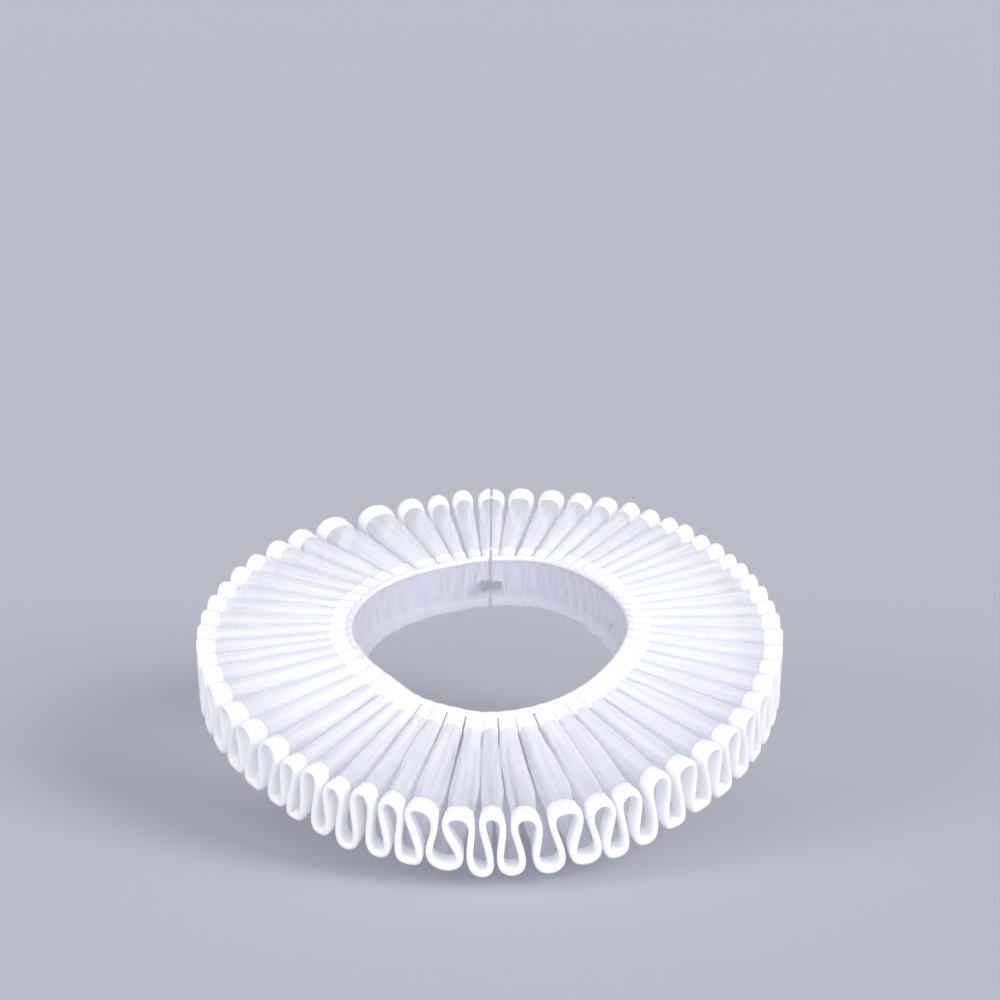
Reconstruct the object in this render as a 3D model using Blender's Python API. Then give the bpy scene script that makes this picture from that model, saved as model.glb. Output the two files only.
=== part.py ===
"""Ruff collar: a long strip of sheer organza set in figure-of-eight loops round a neckband.

Metres, +Z up. The collar is shaped level, with its own axis upright, and an empty then tips it
forward to the slope at which it is worn. The origin is the middle of the neck opening.
Bearings are degrees, anticlockwise from above: 0 is the right-hand side, 90 the centre back
and 270 the centre front. Loops are counted from the opening at the centre back.
"""

import math
import random
from collections import namedtuple

import bmesh
import bpy
import numpy as np
from mathutils import Matrix, Vector

# Driving dimensions, in metres
COLLAR_RADIUS = 0.148
NECK_RADIUS = 0.0705
EDGE_RIBBON_WIDTH = 0.010
HEADING_WIDTH = 0.011
EDGE_LOOP_HEIGHT = 0.0315
NECK_LOOP_HEIGHT = 0.027
NECK_RISE = 0.0065
BAND_HEIGHT = 0.025
BAND_DROP = 0.0015
BAND_LEAN = 0.0065
ORGANZA_WALL = 0.0010
EDGE_RIBBON_LIP = 0.0012
EDGE_RIBBON_FOLD = 0.0026
HEADING_WALL = 0.0014
BAND_WALL = 0.0010
SEAM_GAP = 0.0003
END_GAP = 0.0016
FORWARD_TILT = math.radians(20)

# How the loops stand, and how much one may differ from the next
LIFT_AT_NECK = 0.7
UNEVEN_SEED = 1590
UNEVEN_SHIFT = 0.0006
UNEVEN_RISE = 0.0005
UNEVEN_SWELL = 0.05

# How far a loop swells sideways at a radius, as a share of the distance from loop to loop
Swell = namedtuple("Swell", "radius share")
SWELLS = (
    Swell(0.0705, 0.205),
    Swell(0.0950, 0.230),
    Swell(0.1380, 0.240),
    Swell(0.1480, 0.185),
)

# Where the strip is joined, and the facets of each loop
RUFFLE_LENGTHS = (
    ("ruffle_back_left", 0, 14.75),
    ("ruffle_front_left", 14.75, 29.25),
    ("ruffle_front_right", 29.25, 44.25),
    ("ruffle_back_right", 44.25, 59),
)
EDGE_PHASES = (0, 30, 64, 116, 150, 180, 210, 244, 296, 330)
HEADING_PHASES = (0, 45, 135, 180, 225, 315)
MIDDLE_RADIUS = 0.110
BAND_FACETS = 72
SEATING_PASSES = 6
SLOPE_STEP = 1e-4
NARROWEST_FACET = 0.01
SHARP_ANGLE = math.radians(50)

# Along the collar: loops counted so far at a bearing, lift of the cloth there, and how far
# round towards the next loop a loop's foot stands from its crown
Station = namedtuple("Station", "bearing loops lift lean")
STATIONS = (
    Station(90, 0, -0.006, 0.0),
    Station(115.6, 4, -0.008, -0.0006),
    Station(126.4, 5, -0.007, -0.0008),
    Station(148.6, 8, -0.0035, -0.0012),
    Station(179.8, 13, 0.003, -0.002),
    Station(202.9, 17, 0.0075, -0.0028),
    Station(225.3, 20, 0.0075, -0.005),
    Station(240.2, 23, 0.001, -0.0012),
    Station(256.9, 26, -0.0015, 0.0042),
    Station(264.5, 27, -0.003, 0.0038),
    Station(276.5, 29, -0.003, 0.0037),
    Station(290.8, 31, -0.0015, 0.002),
    Station(309.3, 34, 0.0015, 0.0032),
    Station(322.5, 36, 0.0045, 0.0035),
    Station(340.4, 39, 0.0065, 0.0028),
    Station(375.2, 45, 0.001, 0.0018),
    Station(399, 50, -0.001, 0.001),
    Station(424.2, 55, -0.002, 0.0005),
    Station(450, 59, -0.006, 0.0),
)
LOOPS = STATIONS[-1].loops

# The folds at the front, crown by crown and foot by foot: shift to the right, rise, and swell
# beside the usual one. The other folds differ from each other by chance.
Fold = namedtuple("Fold", "loop shift rise swell")
FRONT_FOLDS = (
    Fold(19, -0.002, 0.0, 1.0),
    Fold(19.5, -0.003, 0.0, 1.0),
    Fold(20, -0.001, 0.001, 1.0),
    Fold(20.5, -0.0015, 0.0005, 1.0),
    Fold(21, -0.0015, -0.0015, 1.0),
    Fold(21.5, -0.003, 0.0005, 1.0),
    Fold(22, 0.0, 0.0025, 1.05),
    Fold(22.5, 0.0, 0.001, 1.0),
    Fold(23, 0.0, 0.0005, 1.0),
    Fold(23.5, 0.0, -0.0005, 1.0),
    Fold(24, 0.002, 0.0035, 1.0),
    Fold(24.5, 0.0015, 0.001, 1.0),
    Fold(25, 0.0025, 0.0025, 0.95),
    Fold(25.5, 0.0005, 0.001, 1.05),
    Fold(26, 0.0005, 0.0025, 1.05),
    Fold(26.5, -0.0005, 0.0015, 1.4),
    Fold(27, -0.0005, 0.001, 1.1),
    Fold(27.5, -0.001, -0.0005, 0.8),
    Fold(28, -0.0005, 0.002, 1.0),
    Fold(28.5, -0.0015, 0.0, 1.08),
    Fold(29, 0.0005, 0.0005, 1.05),
    Fold(29.5, 0.0005, -0.001, 1.05),
    Fold(30, 0.0015, 0.001, 1.2),
    Fold(30.5, 0.0005, 0.0, 1.15),
    Fold(31, 0.001, 0.0, 1.0),
    Fold(31.5, -0.001, -0.0015, 1.0),
    Fold(32, -0.0015, 0.001, 1.0),
    Fold(32.5, -0.001, -0.0005, 1.0),
    Fold(33, -0.0005, 0.004, 1.0),
    Fold(33.5, 0.0, 0.0015, 1.0),
    Fold(34, -0.0005, 0.0025, 1.0),
    Fold(34.5, 0.0005, 0.002, 1.0),
    Fold(35, 0.001, 0.001, 1.0),
)

# The hook and bar that close the neckband
HOOK_GAUGE = 0.0008
HOOK_HEIGHT = 0.004
HOOK_TAIL = 0.006
HOOK_BEND = 0.0047
HOOK_RETURN = 0.0015
BAR_PLACE = 0.0026
BAR_SPAN = 0.0064
CLOSURE_CLEARANCE = 0.0003
CLOSURE_STAND_OFF = 0.0006


def clear_scene():
    """Remove every object, so that only the collar is left."""
    for thing in list(bpy.data.objects):
        bpy.data.objects.remove(thing, do_unlink=True)


def plain_material(name, colour, roughness, metallic=0.0):
    """One Principled material."""
    material = bpy.data.materials.new(name)
    material.use_nodes = True
    shader = material.node_tree.nodes["Principled BSDF"]
    shader.inputs["Base Color"].default_value = (*colour, 1.0)
    shader.inputs["Roughness"].default_value = roughness
    shader.inputs["Metallic"].default_value = metallic
    return material


def smooth_step(value):
    """0 to 1, easing in and out."""
    value = np.clip(value, 0.0, 1.0)
    return value * value * (3.0 - 2.0 * value)


def station_curve(loop, column):
    """A smooth curve through one column of STATIONS, closed round the neck, at these loops."""
    turn = 360.0 if column == "bearing" else 0.0
    counts = np.array([row.loops for row in STATIONS], float)
    values = np.array([getattr(row, column) for row in STATIONS], float)
    counts = np.concatenate([[counts[-2] - LOOPS], counts, [counts[1] + LOOPS]])
    values = np.concatenate([[values[-2] - turn], values, [values[1] + turn]])
    slopes = np.gradient(values, counts)
    loop = np.asarray(loop, float)
    row = np.clip(np.searchsorted(counts, loop, side="right") - 1, 0, len(counts) - 2)
    step = counts[row + 1] - counts[row]
    part = (loop - counts[row]) / step
    ease = part * part * (3.0 - 2.0 * part)
    return (
        values[row] * (1.0 - ease)
        + values[row + 1] * ease
        + slopes[row] * step * part * (1.0 - part) ** 2
        - slopes[row + 1] * step * part * part * (1.0 - part)
    )


def fold_table(column, usual, spread, chance):
    """A value for each crown and each foot, by chance or as set for the front folds."""
    values = [usual + spread * chance.uniform(-1.0, 1.0) for _ in range(2 * LOOPS + 1)]
    for fold in FRONT_FOLDS:
        values[round(2 * fold.loop)] = getattr(fold, column)
    return np.array(values)


def folds_at(loop, values):
    """The table read at these loops, easing from each crown to the next foot."""
    half_loop = np.clip(np.asarray(loop, float) * 2.0, 0.0, 2.0 * LOOPS)
    low = np.minimum(half_loop.astype(int), 2 * LOOPS - 1)
    ease = smooth_step(half_loop - low)
    return values[low] * (1.0 - ease) + values[low + 1] * ease


CHANCE = random.Random(UNEVEN_SEED)
SHIFTS = fold_table("shift", 0.0, UNEVEN_SHIFT, CHANCE)
RISES = fold_table("rise", 0.0, UNEVEN_RISE, CHANCE)
SWELL_SHARES = fold_table("swell", 1.0, UNEVEN_SWELL, CHANCE)


def fold_line(loop, radius):
    """The cloth's middle at a radius: its way round the circle from the centre back, and height."""
    phase = 2.0 * math.pi * loop
    reach = (radius - NECK_RADIUS) / (COLLAR_RADIUS - NECK_RADIUS)
    bearing = np.radians(station_curve(loop, "bearing"))
    pitch_angle = np.radians(
        station_curve(loop + 0.5, "bearing") - station_curve(loop - 0.5, "bearing")
    )
    share = np.interp(radius, [row.radius for row in SWELLS], [row.share for row in SWELLS])
    swell = share * folds_at(loop, SWELL_SHARES) * pitch_angle * radius
    lean = station_curve(loop, "lean") * reach * (1.0 - np.cos(phase)) / 2
    shift = reach * folds_at(loop, SHIFTS)
    arc = radius * (bearing - math.pi / 2)
    arc = END_GAP / 2 + arc * (1.0 - END_GAP / (2.0 * math.pi * radius))
    arc = arc + swell * np.sin(2.0 * phase) + lean + shift
    half_height = 0.5 * (NECK_LOOP_HEIGHT + (EDGE_LOOP_HEIGHT - NECK_LOOP_HEIGHT) * reach)
    lift = station_curve(loop, "lift") * (LIFT_AT_NECK + (1.0 - LIFT_AT_NECK) * reach)
    rise = NECK_RISE * (1.0 - reach) + reach * folds_at(loop, RISES)
    height = rise + lift + half_height * np.cos(phase)
    return arc, height


def wall_face(loop, radius, offset):
    """Points of the fold line at a radius, moved sideways by offset, as x, y, z rows."""
    arc, height = fold_line(loop, radius)
    arc_before, height_before = fold_line(loop - SLOPE_STEP, radius)
    arc_after, height_after = fold_line(loop + SLOPE_STEP, radius)
    along = arc_after - arc_before
    rise = height_after - height_before
    length = np.hypot(along, rise)
    arc = arc - offset * rise / length
    height = height + offset * along / length
    bearing = math.pi / 2 + arc / radius
    return np.stack([radius * np.cos(bearing), radius * np.sin(bearing), height], axis=-1)


def columns_between(start, end, phases):
    """Loop counts of the wall's columns, from one end of a length of cloth to the other."""
    marks = [whole + phase / 360.0 for whole in range(LOOPS) for phase in phases]
    inner = [mark for mark in marks if start + NARROWEST_FACET < mark < end - NARROWEST_FACET]
    return np.array([start, *inner, end])


def closed_wall(front, back):
    """Faces of a wall from two grids of points, rows by columns, closed all round."""
    rows, columns = front.shape[:2]
    points = np.concatenate([front.reshape(-1, 3), back.reshape(-1, 3)])
    far = rows * columns
    faces = []
    for row in range(rows - 1):
        for column in range(columns - 1):
            first = row * columns + column
            face = (first, first + 1, first + columns + 1, first + columns)
            faces.append(face)
            faces.append(tuple(far + corner for corner in reversed(face)))
    rim = list(range(columns))
    rim += [row * columns + columns - 1 for row in range(1, rows)]
    rim += [(rows - 1) * columns + column for column in range(columns - 2, -1, -1)]
    rim += [row * columns for row in range(rows - 2, 0, -1)]
    for here, after in zip(rim, rim[1:] + rim[:1]):
        faces.append((after, here, far + here, far + after))
    return points, faces


def add_object(name, points, faces, material, parent):
    """A closed mesh object with its faces pointing out."""
    mesh = bpy.data.meshes.new(name)
    mesh.from_pydata([tuple(map(float, point)) for point in points], [], faces)
    work = bmesh.new()
    work.from_mesh(mesh)
    bmesh.ops.recalc_face_normals(work, faces=work.faces)
    work.to_mesh(mesh)
    work.free()
    mesh.shade_smooth()
    mesh.set_sharp_from_angle(angle=SHARP_ANGLE)
    mesh.materials.append(material)
    thing = bpy.data.objects.new(name, mesh)
    thing.parent = parent
    bpy.context.scene.collection.objects.link(thing)
    return thing


def pleated_piece(name, loops, rows, material, parent):
    """A wall of looped cloth, from rows of a radius and the wall's thickness there."""
    front = np.stack([wall_face(loops, radius, wall / 2) for radius, wall in rows])
    back = np.stack([wall_face(loops, radius, -wall / 2) for radius, wall in rows])
    points, faces = closed_wall(front, back)
    return add_object(name, points, faces, material, parent)


def band_top():
    """Height of the neckband's upper edge, before the cloth's lift."""
    return NECK_RISE + NECK_LOOP_HEIGHT / 2 - BAND_DROP


def band_radius(height):
    """Radius of the neckband's outer face at a height: it leans in towards its lower edge."""
    top_radius = NECK_RADIUS - SEAM_GAP
    return top_radius - BAND_LEAN * (band_top() - height) / BAND_HEIGHT


def band_lift(loop):
    """The cloth's lift at the neck."""
    return station_curve(loop, "lift") * LIFT_AT_NECK


def make_ruffle(material, parent):
    """The organza strip, joined from four lengths, from the heading out to the edge ribbon."""
    rows = (
        (NECK_RADIUS + HEADING_WIDTH + SEAM_GAP, ORGANZA_WALL),
        (MIDDLE_RADIUS, ORGANZA_WALL),
        (COLLAR_RADIUS - EDGE_RIBBON_WIDTH - SEAM_GAP, ORGANZA_WALL),
    )
    seam = SEAM_GAP / (2.0 * math.pi * NECK_LOOP_HEIGHT / 2)
    for name, start, end in RUFFLE_LENGTHS:
        start = start + seam / 2 if start > 0 else start
        end = end - seam / 2 if end < LOOPS else end
        loops = columns_between(start, end, EDGE_PHASES)
        pleated_piece(name, loops, rows, material, parent)


def make_edge_ribbon(material, parent):
    """The satin ribbon folded over the strip's outer edge, thin at its lips, full at its fold."""
    loops = columns_between(0, LOOPS, EDGE_PHASES)
    rows = (
        (COLLAR_RADIUS - EDGE_RIBBON_WIDTH, EDGE_RIBBON_LIP),
        (COLLAR_RADIUS, EDGE_RIBBON_FOLD),
    )
    pleated_piece("edge_ribbon", loops, rows, material, parent)


def make_heading_ribbon(material, parent):
    """The pleated ribbon at the strip's neck edge, its inner edge against the leaning band."""
    loops = columns_between(0, LOOPS, HEADING_PHASES)
    clearance = SEAM_GAP + HEADING_WALL / 2 * BAND_LEAN / BAND_HEIGHT
    inner_radius = NECK_RADIUS
    for _ in range(SEATING_PASSES):
        height = fold_line(loops, inner_radius)[1] - band_lift(loops)
        inner_radius = band_radius(height) + clearance
    rows = ((inner_radius, HEADING_WALL), (NECK_RADIUS + HEADING_WIDTH, HEADING_WALL))
    pleated_piece("heading_ribbon", loops, rows, material, parent)


def make_neckband(material, parent):
    """The band that the pleats are sewn to, open at the centre back."""
    loops = np.interp(
        np.linspace(90, 450, BAND_FACETS + 1),
        station_curve(np.arange(LOOPS + 1), "bearing"),
        np.arange(LOOPS + 1),
    )
    faces_at = []
    for inset in (0.0, BAND_WALL):
        rows = []
        for height in (band_top() - BAND_HEIGHT, band_top()):
            radius = band_radius(height) - inset
            half_gap = END_GAP / 2 / radius
            bearing = np.linspace(math.pi / 2 + half_gap, math.pi * 2.5 - half_gap, BAND_FACETS + 1)
            rows.append(np.stack(
                [radius * np.cos(bearing), radius * np.sin(bearing), height + band_lift(loops)],
                axis=-1,
            ))
        faces_at.append(np.stack(rows))
    points, faces = closed_wall(*faces_at)
    return add_object("neckband", points, faces, material, parent)


def extruded(name, outline, axis, depth, material, parent):
    """A flat outline of (first, second) points given thickness along the axis x or z."""
    near = [(a, b, -depth / 2) if axis == "z" else (-depth / 2, a, b) for a, b in outline]
    far = [(a, b, depth / 2) if axis == "z" else (depth / 2, a, b) for a, b in outline]
    count = len(outline)
    faces = [tuple(range(count)), tuple(range(2 * count - 1, count - 1, -1))]
    for here in range(count):
        after = (here + 1) % count
        faces.append((here, count + here, count + after, after))
    return add_object(name, near + far, faces, material, parent)


def make_closure(material, parent):
    """A flat hook on one end of the neckband, caught round a bar on the other end.

    In the closure's own axes x runs along the band, y into the neck opening and z up the band.
    """
    gauge = HOOK_GAUGE
    floor = CLOSURE_STAND_OFF
    bar_low = floor + gauge + CLOSURE_CLEARANCE
    top_low = bar_low + gauge + CLOSURE_CLEARANCE
    hook_outline = (
        (-HOOK_TAIL, floor),
        (HOOK_BEND, floor),
        (HOOK_BEND, top_low + gauge),
        (HOOK_RETURN, top_low + gauge),
        (HOOK_RETURN, top_low),
        (HOOK_BEND - gauge, top_low),
        (HOOK_BEND - gauge, floor + gauge),
        (-HOOK_TAIL, floor + gauge),
    )
    bar_foot = CLOSURE_CLEARANCE
    bar_outline = (
        (bar_foot, -BAR_SPAN / 2),
        (bar_low + gauge, -BAR_SPAN / 2),
        (bar_low + gauge, BAR_SPAN / 2),
        (bar_foot, BAR_SPAN / 2),
        (bar_foot, BAR_SPAN / 2 - gauge),
        (bar_low, BAR_SPAN / 2 - gauge),
        (bar_low, -BAR_SPAN / 2 + gauge),
        (bar_foot, -BAR_SPAN / 2 + gauge),
    )
    middle = band_top() - BAND_HEIGHT / 2
    lean = math.atan2(BAND_LEAN, BAND_HEIGHT)
    seat = Vector((0.0, band_radius(middle) - BAND_WALL, middle + float(band_lift(0.0))))
    turn = Matrix.Rotation(math.pi, 4, "Z") @ Matrix.Rotation(lean, 4, "X")
    hook = extruded("neck_hook", hook_outline, "z", HOOK_HEIGHT, material, parent)
    hook.matrix_local = Matrix.Translation(seat) @ turn
    bar = extruded("neck_bar", bar_outline, "x", gauge, material, parent)
    along_band = Matrix.Translation(Vector((BAR_PLACE, 0.0, 0.0)))
    bar.matrix_local = Matrix.Translation(seat) @ turn @ along_band


def main():
    clear_scene()
    organza = plain_material("sheer_organza", (0.86, 0.87, 0.94), 0.55)
    satin = plain_material("white_satin_ribbon", (0.93, 0.93, 0.95), 0.4)
    band_cloth = plain_material("sheer_band", (0.62, 0.65, 0.74), 0.6)
    steel = plain_material("nickel_plated_steel", (0.7, 0.7, 0.72), 0.3, 1.0)
    tilt = bpy.data.objects.new("worn_tilt", None)
    bpy.context.scene.collection.objects.link(tilt)
    lay_forward = Matrix.Rotation(FORWARD_TILT, 4, "X")
    tilt.matrix_world = lay_forward @ Matrix.Translation((0, 0, BAND_HEIGHT / 2 - band_top()))
    make_ruffle(organza, tilt)
    make_edge_ribbon(satin, tilt)
    make_heading_ribbon(satin, tilt)
    make_neckband(band_cloth, tilt)
    make_closure(steel, tilt)
    bpy.context.view_layer.update()


main()
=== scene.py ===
"""Dresses the ruff collar: sheer organza loops, satin ribbons, neckband, stitching and stage.

Metres, +Z up. The collar is worked out level, round its own upright axis, and then tipped forward
to the slope at which it is worn. Bearings are degrees anticlockwise from above: 0 is the right-hand
side, 90 the centre back and 270 the centre front. Loops are counted from the centre back.
"""

import math
import random
from collections import namedtuple

import bpy
import numpy as np
from mathutils import Matrix, Vector


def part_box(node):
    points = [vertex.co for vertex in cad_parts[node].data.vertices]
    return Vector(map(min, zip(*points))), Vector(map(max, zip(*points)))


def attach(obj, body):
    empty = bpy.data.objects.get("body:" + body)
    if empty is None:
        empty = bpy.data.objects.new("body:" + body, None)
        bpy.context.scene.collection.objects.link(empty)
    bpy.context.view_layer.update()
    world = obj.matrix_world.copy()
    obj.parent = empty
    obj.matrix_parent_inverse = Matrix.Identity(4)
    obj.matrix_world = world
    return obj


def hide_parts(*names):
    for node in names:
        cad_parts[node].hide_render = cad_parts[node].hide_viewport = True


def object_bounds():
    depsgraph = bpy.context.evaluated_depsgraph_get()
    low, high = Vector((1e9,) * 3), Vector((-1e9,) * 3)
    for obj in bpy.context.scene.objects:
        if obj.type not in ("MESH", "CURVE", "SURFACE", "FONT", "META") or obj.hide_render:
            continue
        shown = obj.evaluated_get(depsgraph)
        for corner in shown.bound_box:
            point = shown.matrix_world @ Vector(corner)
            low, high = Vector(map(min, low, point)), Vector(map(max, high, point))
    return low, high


bl_info = {
    "name": "Ruff Collar",
    "version": (1, 0, 0),
    "blender": (4, 5, 0),
    "location": "View3D > Sidebar > Ruff",
    "description": "Builds a figure-of-eight ruff collar of organza edged with satin ribbon",
    "category": "Object",
}

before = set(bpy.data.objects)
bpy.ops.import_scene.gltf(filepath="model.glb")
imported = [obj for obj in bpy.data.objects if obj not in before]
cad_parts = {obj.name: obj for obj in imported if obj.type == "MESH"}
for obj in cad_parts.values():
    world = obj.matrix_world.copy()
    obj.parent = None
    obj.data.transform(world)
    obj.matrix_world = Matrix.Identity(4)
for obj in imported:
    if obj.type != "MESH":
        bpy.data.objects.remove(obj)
CAD_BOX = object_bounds()
EDGE_LOW, EDGE_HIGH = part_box("edge_ribbon")

TURN = 2.0 * math.pi

# Along the collar: loops counted so far at a bearing, lift of the cloth there, and how far
# round towards the next loop a loop's foot stands from its crown
Station = namedtuple("Station", "bearing loops lift lean")
STATIONS = (
    Station(90, 0, -0.006, 0.0),
    Station(115.6, 4, -0.008, -0.0006),
    Station(126.4, 5, -0.007, -0.0008),
    Station(148.6, 8, -0.0035, -0.0012),
    Station(179.8, 13, 0.003, -0.002),
    Station(202.9, 17, 0.0075, -0.0028),
    Station(225.3, 20, 0.0075, -0.005),
    Station(240.2, 23, 0.001, -0.0012),
    Station(256.9, 26, -0.0015, 0.0042),
    Station(264.5, 27, -0.003, 0.0038),
    Station(276.5, 29, -0.003, 0.0037),
    Station(290.8, 31, -0.0015, 0.002),
    Station(309.3, 34, 0.0015, 0.0032),
    Station(322.5, 36, 0.0045, 0.0035),
    Station(340.4, 39, 0.0065, 0.0028),
    Station(375.2, 45, 0.001, 0.0018),
    Station(399, 50, -0.001, 0.001),
    Station(424.2, 55, -0.002, 0.0005),
    Station(450, 59, -0.006, 0.0),
)
LOOPS = STATIONS[-1].loops

# How much one fold may differ from the next at the edge and at the neck: sideways, in height and
# in its swell
UNEVEN_SEED = 1590
UNEVEN_SHIFT = 0.0006
UNEVEN_RISE = 0.0005
UNEVEN_SWELL = 0.05
UNEVEN_NECK_SHIFT = 0.0005
UNEVEN_NECK_RISE = 0.0003
UNEVEN_NECK_SWELL = 0.035

# How flat the crowns and the feet are pressed at the edge, and how much that differs
CROWN_FLATNESS = 0.06
FOOT_FLATNESS = 0.32
UNEVEN_FLATNESS = 0.13

# How far a loop swells sideways at a radius, as a share of the distance from loop to loop, and
# how flat its crown is pressed there, from 0 for a round one to 0.5 for a flat one. Past the
# greatest share a loop would meet its neighbour.
Swell = namedtuple("Swell", "radius share flat")
SWELLS = (
    Swell(0.0705, 0.330, 0.45),
    Swell(0.0815, 0.303, 0.25),
    Swell(0.1000, 0.315, 0.1),
    Swell(0.1200, 0.300, 0.0),
    Swell(0.1380, 0.225, 0.0),
    Swell(0.1480, 0.180, 0.0),
)
SWELL_MOST = 0.345

# The folds at the front, crown by crown and foot by foot: shift to the right, rise, and swell
# beside the usual one. The other folds differ from each other by chance.
Fold = namedtuple("Fold", "loop shift rise swell", defaults=(1.0,))
FRONT_FOLDS = (
    Fold(19, -0.002, 0.0),
    Fold(19.5, -0.003, 0.0),
    Fold(20, -0.001, 0.001),
    Fold(20.5, -0.0015, 0.0005),
    Fold(21, -0.0015, -0.0015),
    Fold(21.5, -0.003, 0.0005),
    Fold(22, 0.0, 0.0025, 1.05),
    Fold(22.5, 0.0, 0.001),
    Fold(23, 0.0, 0.0005),
    Fold(23.5, 0.0, -0.0005),
    Fold(24, 0.002, 0.0035),
    Fold(24.5, 0.0015, 0.001),
    Fold(25, 0.0025, 0.0025, 0.95),
    Fold(25.5, 0.0005, 0.001, 1.05),
    Fold(26, 0.0005, 0.0025, 1.05),
    Fold(26.5, -0.0005, 0.0015, 1.4),
    Fold(27, -0.0005, 0.001, 1.1),
    Fold(27.5, -0.001, -0.0005, 0.8),
    Fold(28, -0.0005, 0.002),
    Fold(28.5, -0.0015, 0.0, 1.08),
    Fold(29, 0.0005, 0.0005, 1.05),
    Fold(29.5, 0.0005, -0.001, 1.05),
    Fold(30, 0.0015, 0.001, 1.2),
    Fold(30.5, 0.0005, 0.0, 1.15),
    Fold(31, 0.001, 0.0),
    Fold(31.5, -0.001, -0.0015),
    Fold(32, -0.0015, 0.001),
    Fold(32.5, -0.001, -0.0005),
    Fold(33, -0.0005, 0.004),
    Fold(33.5, 0.0, 0.0015),
    Fold(34, -0.0005, 0.0025),
    Fold(34.5, 0.0005, 0.002),
    Fold(35, 0.001, 0.001),
)

# Feet that are pressed rounder or squarer than most
Foot = namedtuple("Foot", "loop flat")
ODD_FEET = (
    Foot(18.5, 0.50),
    Foot(19.5, 0.60),
    Foot(21.5, 0.55),
    Foot(26.5, -0.05),
    Foot(28.5, 0.18),
    Foot(29.5, 0.12),
    Foot(30.5, 0.20),
    Foot(33.5, 0.52),
    Foot(34.5, 0.60),
    Foot(35.5, 0.66),
    Foot(36.5, 0.60),
    Foot(37.5, 0.68),
    Foot(38.5, 0.62),
    Foot(39.5, 0.66),
    Foot(40.5, 0.58),
)

# Where the organza strip is joined
RUFFLE_LENGTHS = (
    ("ruffle_back_left", 0, 14.75),
    ("ruffle_front_left", 14.75, 29.25),
    ("ruffle_front_right", 29.25, 44.25),
    ("ruffle_back_right", 44.25, 59),
)

# How finely each loop is drawn
ORGANZA_COLUMNS = 56
ORGANZA_ROWS = 30
RIBBON_COLUMNS = 48
BAND_COLUMNS = 480
BAND_ROWS = 16

# A ribbon's section: share of its width from the neck side, and share of its full thickness.
# The edge ribbon is folded over the cloth, so it is full at the fold; the heading lies flat.
Section = namedtuple("Section", "width wall")
EDGE_SECTION = (
    Section(0.0, 0.14),
    Section(0.08, 0.24),
    Section(0.22, 0.44),
    Section(0.40, 0.70),
    Section(0.58, 0.90),
    Section(0.73, 1.0),
    Section(0.85, 0.97),
    Section(0.93, 0.82),
    Section(0.975, 0.58),
    Section(1.0, 0.25),
)
HEADING_SECTION = (
    Section(0.0, 0.5),
    Section(0.04, 0.9),
    Section(0.15, 1.0),
    Section(0.38, 1.0),
    Section(0.62, 1.0),
    Section(0.85, 1.0),
    Section(0.96, 0.9),
    Section(1.0, 0.5),
)

# The fold, one sum to a row: what it is called, the operation, and its terms. A term is a mark on
# the cloth, a size given to the tree, an earlier sum or a plain number.
Sum = namedtuple("Sum", "name operation first second third", defaults=(None, None))
FOLD_SUMS = (
    Sum("depth", "SUBTRACT", "radius", "Neck radius"),
    Sum("span", "SUBTRACT", "Collar radius", "Neck radius"),
    Sum("reach", "DIVIDE", "depth", "span"),
    Sum("phase", "MULTIPLY", "loop", TURN),
    Sum("double phase", "MULTIPLY", "phase", 2.0),
    Sum("swell", "SINE", "double phase"),
    Sum("crown", "COSINE", "phase"),
    Sum("pitch at radius", "MULTIPLY", "pitch", "radius"),
    Sum("swell width", "MULTIPLY", "share", "pitch at radius"),
    Sum("half below crown", "MULTIPLY_ADD", "crown", -0.5, 0.5),
    Sum("lean at radius", "MULTIPLY", "lean", "reach"),
    Sum("leaning side", "MULTIPLY_ADD", "lean at radius", "half below crown", "side"),
    Sum("all moves", "MULTIPLY_ADD", "swell width", "swell", "leaning side"),
    Sum("turn", "DIVIDE", "all moves", "radius"),
    Sum("angle", "ADD", "bearing", "turn"),
    Sum("growth", "SUBTRACT", "Edge loop height", "Neck loop height"),
    Sum("loop height", "MULTIPLY_ADD", "growth", "reach", "Neck loop height"),
    Sum("half loop", "MULTIPLY", "loop height", 0.5),
    Sum("crown squared", "MULTIPLY", "crown", "crown"),
    Sum("beside crown", "SUBTRACT", 1.0, "crown squared"),
    Sum("fullness", "MULTIPLY_ADD", "flat", "beside crown", 1.0),
    Sum("full crown", "MULTIPLY", "crown", "fullness"),
    Sum("raised wave", "MULTIPLY_ADD", "half loop", "full crown", "raise"),
    Sum("inward", "SUBTRACT", 1.0, "reach"),
    Sum("risen wave", "MULTIPLY_ADD", "Neck rise", "inward", "raised wave"),
    Sum("lift growth", "SUBTRACT", 1.0, "Lift at neck"),
    Sum("lift share", "MULTIPLY_ADD", "lift growth", "reach", "Lift at neck"),
    Sum("height", "MULTIPLY_ADD", "lift", "lift share", "risen wave"),
    Sum("cosine", "COSINE", "angle"),
    Sum("sine", "SINE", "angle"),
    Sum("x", "MULTIPLY", "radius", "cosine"),
    Sum("y", "MULTIPLY", "radius", "sine"),
)
CLOTH_MARKS = (
    "loop", "radius", "bearing", "pitch", "lift", "lean", "share", "flat", "side", "raise",
    "crease",
)

# Creases that run out over the organza from its heading: small gathers where it is drawn in, and
# longer soft ones. How many to a loop, and their depth, width in loops and reach outwards. Each
# strays by a share of its spacing, and its width and reach differ by a factor.
Gather = namedtuple("Gather", "a_loop depth width reach")
GATHERS = (
    Gather(5, 0.00060, 0.050, 0.012),
    Gather(3, 0.00085, 0.024, 0.050),
)
GATHER_RISE = 0.003
GATHER_STRAY = 0.35
GATHER_WIDTHS = (0.7, 1.3)
GATHER_REACHES = (0.6, 2.6)
GATHER_SPREAD = 3.0

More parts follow.
